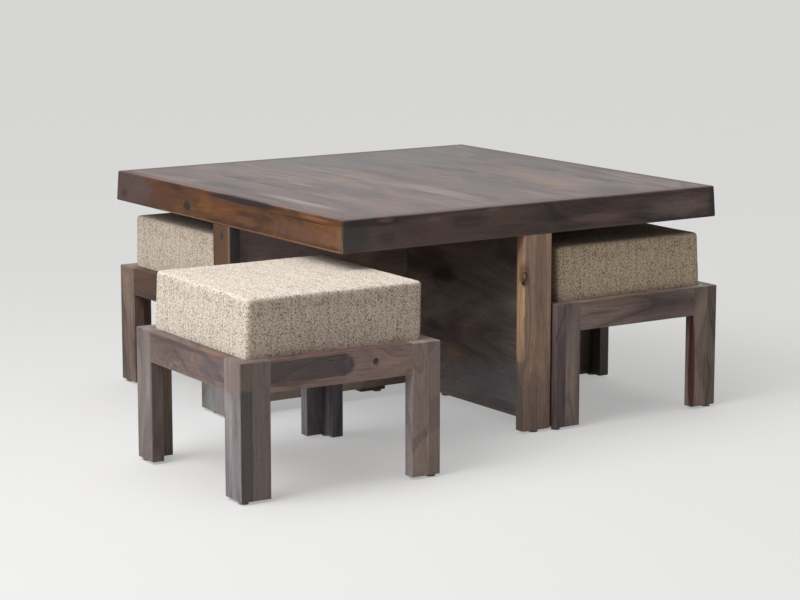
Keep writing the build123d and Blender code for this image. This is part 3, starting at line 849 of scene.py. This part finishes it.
def heathered_cover(stool, factors):
    """Plain weave of slubby cream and brown yarn: matt, soft, with a little fuzz that catches the light."""
    made, add = new_material("heathered woven cover, " + stool)
    place = add("ShaderNodeUVMap", uv_map="weave")
    counted = add("ShaderNodeVectorMath", [place, (yarn, yarn, 1.0)], operation="DIVIDE")
    number = add("ShaderNodeSeparateXYZ", [add("ShaderNodeVectorMath", [counted], operation="FLOOR")]).outputs
    run = add("ShaderNodeVectorMath", [place, (mix_run, mix_run, 1.0)], operation="MULTIPLY")
    run = add("ShaderNodeSeparateXYZ", [run]).outputs
    warp_row = add("ShaderNodeMath", [number[0], warp_step], operation="MULTIPLY")
    weft_row = add("ShaderNodeMath", [number[1], weft_step, weft_start], operation="MULTIPLY_ADD")
    yarns = []
    for row, way in ((warp_row, run[1]), (weft_row, run[0])):
        line = add("ShaderNodeCombineXYZ", [row, way])
        yarns.append(add("ShaderNodeTexNoise", {"Vector": line, **fibre_mix}, noise_dimensions="2D").outputs[0])
    both = add("ShaderNodeMath", number[:2], operation="ADD")
    crossing = add("ShaderNodeMath", [both, 1.0], operation="PINGPONG")
    shown = add("ShaderNodeMix", {0: crossing, 2: yarns[0], 3: yarns[1]}, data_type="FLOAT")
    thick = add("ShaderNodeMapping", {0: place, "Scale": slub_waves})
    slub = add("ShaderNodeTexNoise", {"Vector": thick, "Scale": 1.0, "Detail": 1.0}, noise_dimensions="2D")
    tone = add("ShaderNodeMath", [slub, slub_share, shown], operation="MULTIPLY_ADD")
    spread = add("ShaderNodeMapRange", [tone, *tone_band])
    ramp = add("ShaderNodeValToRGB", [spread])
    # every cover is the same cloth; its heather is multiplied by that stool's painted shade
    set_stops(ramp, heather_spots, [scaled_colour(shade, factors) for shade in heather])

    # a yarn is highest in the middle of its crossing, and its fuzz is too fine to follow
    fuzz = add("ShaderNodeTexNoise", {"Vector": place, "Scale": 900.0, "Detail": 1.0}, noise_dimensions="2D")
    waves = add("ShaderNodeVectorMath", [counted, (pi, pi, 1.0)], operation="MULTIPLY")
    waves = add("ShaderNodeSeparateXYZ", [waves]).outputs
    over, under = (add("ShaderNodeMath", [waves[k]], operation="SINE") for k in (0, 1))
    weave = add("ShaderNodeMath", [over, under], operation="MULTIPLY")
    height = add("ShaderNodeMath", [weave, 0.5, fuzz], operation="MULTIPLY_ADD")
    relief = add("ShaderNodeBump", {"Strength": 0.45, "Distance": 0.0006, "Height": height})
    matt = {"Base Color": ramp, "Roughness": 0.95, "Specular IOR Level": 0.15, "Normal": relief}
    return finish(made, add, {**matt, "Sheen Weight": 0.15, "Sheen Roughness": 0.5})


# %% Put a cushion on each stool
lean_and_painted_shade = {  # how far the cushion's top leans over, in metres, and the painted shade of its cover: darker for the stools under the top, warmer where light comes back off the wood
    "front": ((0.0032, -0.0024, 0), (1.0, 1.0, 1.0)),
    "left": ((0.001, 0.001, 0), (0.83, 0.80, 0.77)),
    "right": ((-0.0035, 0.0023, 0), (1.02, 0.95, 0.85)),
    "back": ((0.0005, -0.001, 0), (0.94, 0.92, 0.88)),
}
lean_from = frame_top + 0.004
for number, (stool, turn) in enumerate(stool_turns.items()):
    lean, factors = lean_and_painted_shade[stool]
    low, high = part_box(stool + "_stool_cushion")
    centre = (low + high) / 2
    copy = block.copy()
    copy.materials.append(heathered_cover(stool, factors))
    copy.name = stool + " cushion"
    copy.transform(Matrix.Rotation(radians(turn + 90 * number), 4, "Z"))
    for v in copy.vertices:  # soft foam leans a little, above its frame
        v.co += Vector(lean) * max(0.0, v.co.z - lean_from) / cushion_size.z
    copy.transform(Matrix.Translation((centre.x, centre.y, low.z)))
    padded = put(stool + "_cushion_cover", copy)
    smooth = padded.modifiers.new("smooth", "SUBSURF")
    smooth.levels = smooth.render_levels = 1
    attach(padded, stool + "_stool")
    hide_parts(stool + "_stool_cushion")
    print(padded.name, "at", [round(v, 4) for v in centre])
bpy.data.objects.remove(cushion)

# %% [markdown]
# ## Screws
#
# The planks are screwed up through the cleats along the cross panels, and each seat board through its four
# cleats. The heads are zinc plated, 7 mm across, with a cross recess. They all look the same, so one is made and
# Geometry Nodes put a copy on each marked point, turned by chance as a driver leaves it.


# %% Make one screw head
def screw_head():
    """A raised countersunk head that faces down, with a cross recess."""
    work = bmesh.new()
    radius, crest, sunk, arm, reach = 0.0035, 0.0006, 0.0009, 0.00055, 0.0019
    shoulder_share, pit_share, steps = 0.8, 0.6, 24

    def ring(size, z):
        spokes = [2 * pi * i / steps for i in range(steps)]
        return [work.verts.new((size * cos(a), size * sin(a), z)) for a in spokes]

    outer, shoulder = ring(radius, 0), ring(shoulder_share * radius, -crest)
    for i in range(steps):
        work.faces.new((outer[i], shoulder[i], shoulder[(i + 1) % steps], outer[(i + 1) % steps]))
    quarter = [(arm, reach), (arm, arm), (reach, arm)]
    cross = [*quarter, (reach, -arm), (arm, -arm), (arm, -reach), *[(-x, -y) for x, y in quarter]]
    cross += [(-reach, arm), (-arm, arm), (-arm, reach)]
    lip = [work.verts.new((x, y, -crest)) for x, y in cross]
    pit = [work.verts.new((x * pit_share, y * pit_share, sunk - crest)) for x, y in cross]
    for i in range(len(cross)):
        work.faces.new((lip[i], pit[i], pit[(i + 1) % len(cross)], lip[(i + 1) % len(cross)]))
    work.faces.new(pit)
    on_top = [e for e in work.edges if e.is_boundary and all(abs(v.co.z + crest) < 1e-7 for v in e.verts)]
    bmesh.ops.bridge_loops(work, edges=on_top)
    work.faces.new(outer[::-1])
    bmesh.ops.recalc_face_normals(work, faces=work.faces)
    return bpy.data.objects.new("screw head", mesh_of(work, "screw head"))


def zinc_plate():
    """Steel plated with zinc: a bluish bright metal, a little blotchy."""
    made, add, _, blotch, tint = two_shades("zinc plated screw", "#9a9c9e", "#c9cbcc", Scale=700.0, Detail=3.0)
    rough = add("ShaderNodeMapRange", {0: blotch, 3: 0.25, 4: 0.45})
    return finish(made, add, {"Base Color": tint, "Metallic": 1.0, "Roughness": rough})


# %% Build the screwing tree
zinc, head = zinc_plate(), screw_head()
driving = bpy.data.node_groups.new("drive screws", "GeometryNodeTree")
new_socket = driving.interface.new_socket
new_socket("Points", in_out="INPUT", socket_type="NodeSocketGeometry")
size_input = new_socket("Head size", in_out="INPUT", socket_type="NodeSocketFloat")
seed_input = new_socket("Turn seed", in_out="INPUT", socket_type="NodeSocketInt")
new_socket("Screws", in_out="OUTPUT", socket_type="NodeSocketGeometry")
add = partial(add_node, driving)
given = add("NodeGroupInput").outputs
shape = add("GeometryNodeObjectInfo", {"Object": head}).outputs["Geometry"]
by_chance = {2: 0.0, 3: 2 * pi, "Seed": given["Turn seed"]}
chance = add("FunctionNodeRandomValue", by_chance, data_type="FLOAT").outputs[1]
turned = add("ShaderNodeCombineXYZ", {2: chance})
copies = {"Points": given["Points"], "Instance": shape, "Rotation": turned, "Scale": given["Head size"]}
placed = add("GeometryNodeInstanceOnPoints", copies)
solid = add("GeometryNodeRealizeInstances", [placed])
plated = add("GeometryNodeSetMaterial", {0: solid, "Material": zinc})
add("NodeGroupOutput", [plated])
print("tree", driving.name, "with", len(driving.nodes), "nodes")


# %% Drive the screws
def drive_screws(title, body, places, seed):
    """Screw heads on the given points, as one mesh that rides on a body."""
    marked = bpy.data.meshes.new(title + " marks")
    marked.from_pydata(places, [], [])
    holder = put(title + " marks", marked)
    step = holder.modifiers.new("drive", "NODES")
    step.node_group = driving
    step[size_input.identifier] = 1.0
    step[seed_input.identifier] = seed
    ready = holder.evaluated_get(bpy.context.evaluated_depsgraph_get())
    made = bpy.data.meshes.new_from_object(ready)  # from here on a plain mesh
    made.name = title
    bpy.data.objects.remove(holder)
    screws = put(title, made)
    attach(screws, body)
    print(title, len(places), "heads,", len(made.polygons), "faces")


panel_screws = (0.10, 0.32)  # m from the middle of the table along each panel
half_panel, half_cleat = 0.015, 0.011
from_panel, under_cleat = half_panel + half_cleat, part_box("panel_cleats")[0].z
places = []
for far in panel_screws:
    for a in (-far, far):
        for b in (-from_panel, from_panel):
            places += [(a, b, under_cleat), (b, a, under_cleat)]
drive_screws("top_screws", "table", places, 5)

well_side, seat_cleat, aside = 0.362, 0.022, 0.06  # m, with each screw a little aside of its cleat's middle
out = (well_side - seat_cleat) / 2
seat_screws = [Vector(p) for p in ((out, aside, 0), (-out, -aside, 0), (aside, out, 0), (-aside, -out, 0))]
for seed, (stool, turn) in enumerate(stool_turns.items(), 11):
    low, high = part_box(stool + "_stool_seat_cleats")
    centre = (low + high) / 2
    spun = Matrix.Translation((centre.x, centre.y, low.z)) @ Matrix.Rotation(radians(turn), 4, "Z")
    drive_screws(stool + "_stool_seat_screws", stool + "_stool", [tuple(spun @ p) for p in seat_screws], seed)
